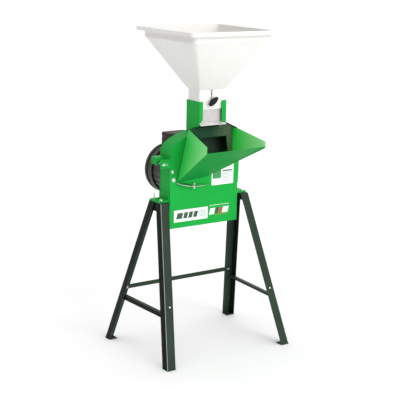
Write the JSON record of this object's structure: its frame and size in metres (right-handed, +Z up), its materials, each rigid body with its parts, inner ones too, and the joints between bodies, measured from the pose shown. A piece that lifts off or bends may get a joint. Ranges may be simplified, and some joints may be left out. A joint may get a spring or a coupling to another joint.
{
  "type": "electric hammer mill on a stand",
  "caption": "Small electric grain and forage hammer mill on splayed angle-iron legs, with a square top hopper, sliding gate, front feed tray and direct-drive motor.",
  "frame": {"origin": "on the floor, below the middle of the overall bounding box, between the four feet", "axes": "+Z up, -Y towards the feed tray (front), +Y towards the motor, +X to the right seen from the front; the rotor axis is parallel to Y"},
  "size_m": [0.616, 0.4932, 1.25],
  "materials": {
    "green_paint": "satin bright green enamel on folded sheet",
    "dark_paint": "satin very dark green enamel on angle iron",
    "white_plastic": "moulded white polyethylene, softly glossy",
    "black_plastic": "black moulded plastic",
    "motor_paint": "black-brown motor enamel",
    "galvanised_sheet": "galvanised sheet, dull",
    "zinc_bolt": "bright zinc plating",
    "ground_steel": "bare machined steel",
    "cast_iron": "dark as-cast"
  },
  "bodies": {
    "frame": {"leg_front_left": "dark_paint", "leg_front_right": "dark_paint", "leg_rear_left": "dark_paint", "leg_rear_right": "dark_paint", "top_rail_left": "dark_paint", "top_rail_right": "dark_paint", "side_brace_left": "dark_paint", "side_brace_right": "dark_paint", "rear_brace": "dark_paint", "drum_wrap": "green_paint", "back_plate": "green_paint", "bracket_left": "green_paint", "bracket_right": "green_paint", "latch_bracket": "green_paint", "hinge_body_leaf": "green_paint", "chute": "green_paint", "deflector": "galvanised_sheet", "counter_knife": "ground_steel", "sieve": "ground_steel", "front_end_shield": "motor_paint", "motor_frame": "motor_paint", "rear_end_shield": "motor_paint", "fan_cover": "motor_paint", "terminal_box": "black_plastic", "cable_gland": "black_plastic", "brace_bolt_front_left": "zinc_bolt", "brace_bolt_front_right": "zinc_bolt", "brace_bolt_rear_left": "zinc_bolt", "brace_bolt_rear_right": "zinc_bolt", "bracket_bolt_left_front": "zinc_bolt", "bracket_bolt_left_rear": "zinc_bolt", "bracket_bolt_right_front": "zinc_bolt", "bracket_bolt_right_rear": "zinc_bolt"},
    "rotor": {"motor_shaft": "ground_steel", "rotor_disc_rear": "cast_iron", "rotor_disc_front": "cast_iron", "rotor_nut": "zinc_bolt", "knife_1": "ground_steel", "knife_2": "ground_steel", "fan": "black_plastic"},
    "hammer_1": {"hammer_1": "ground_steel"},
    "hammer_2": {"hammer_2": "ground_steel"},
    "hammer_3": {"hammer_3": "ground_steel"},
    "hammer_4": {"hammer_4": "ground_steel"},
    "lid": {"front_lid": "green_paint", "lid_bolt_upper": "zinc_bolt", "lid_bolt_lower": "zinc_bolt", "hinge_lid_leaf": "green_paint", "tray_flange": "dark_paint", "tray": "green_paint", "tray_ledge": "galvanised_sheet", "ledge_bolt": "zinc_bolt"},
    "latch_screw": {"latch_screw": "zinc_bolt"},
    "hopper": {"hopper": "white_plastic"},
    "gate": {"gate": "galvanised_sheet"},
    "gate_knob": {"gate_knob": "black_plastic"},
    "switch_rocker": {"switch_rocker": "black_plastic"}
  },
  "joints": [
    {"name": "rotor_spin", "type": "hinge", "parent": "frame", "child": "rotor", "pos_m": [0, 0, 0.668], "axis": [0, 1, 0], "continuous": true},
    {"name": "hammer_1_swing", "type": "hinge", "parent": "rotor", "child": "hammer_1", "pos_m": [0.0601, 0, 0.7281], "axis": [0, 1, 0], "continuous": true},
    {"name": "hammer_2_swing", "type": "hinge", "parent": "rotor", "child": "hammer_2", "pos_m": [-0.0601, 0, 0.7281], "axis": [0, 1, 0], "continuous": true},
    {"name": "hammer_3_swing", "type": "hinge", "parent": "rotor", "child": "hammer_3", "pos_m": [-0.0601, 0, 0.6079], "axis": [0, 1, 0], "continuous": true},
    {"name": "hammer_4_swing", "type": "hinge", "parent": "rotor", "child": "hammer_4", "pos_m": [0.0601, 0, 0.6079], "axis": [0, 1, 0], "continuous": true},
    {"name": "lid_open", "type": "hinge", "parent": "frame", "child": "lid", "pos_m": [0.1625, -0.033, 0.72], "axis": [0, 0, 1], "range_deg": [0, 88]},
    {"name": "latch_screw_turn", "type": "hinge", "parent": "lid", "child": "latch_screw", "pos_m": [-0.189, -0.0395, 0.745], "axis": [0, 1, 0], "range_deg": [0, 720]},
    {"name": "hopper_lift", "type": "slide", "parent": "frame", "child": "hopper", "axis": [0, 0, 1], "range_m": [0, 0.04]},
    {"name": "gate_slide", "type": "slide", "parent": "hopper", "child": "gate", "axis": [0, 0, 1], "range_m": [0, 0.028]},
    {"name": "gate_knob_turn", "type": "hinge", "parent": "gate", "child": "gate_knob", "pos_m": [0.002, -0.0827, 0.978], "axis": [0, 1, 0], "range_deg": [0, 360]},
    {"name": "switch_throw", "type": "hinge", "parent": "frame", "child": "switch_rocker", "pos_m": [0.036, 0.134, 0.797], "axis": [0, -1, 0], "range_deg": [0, 24]}
  ]
}
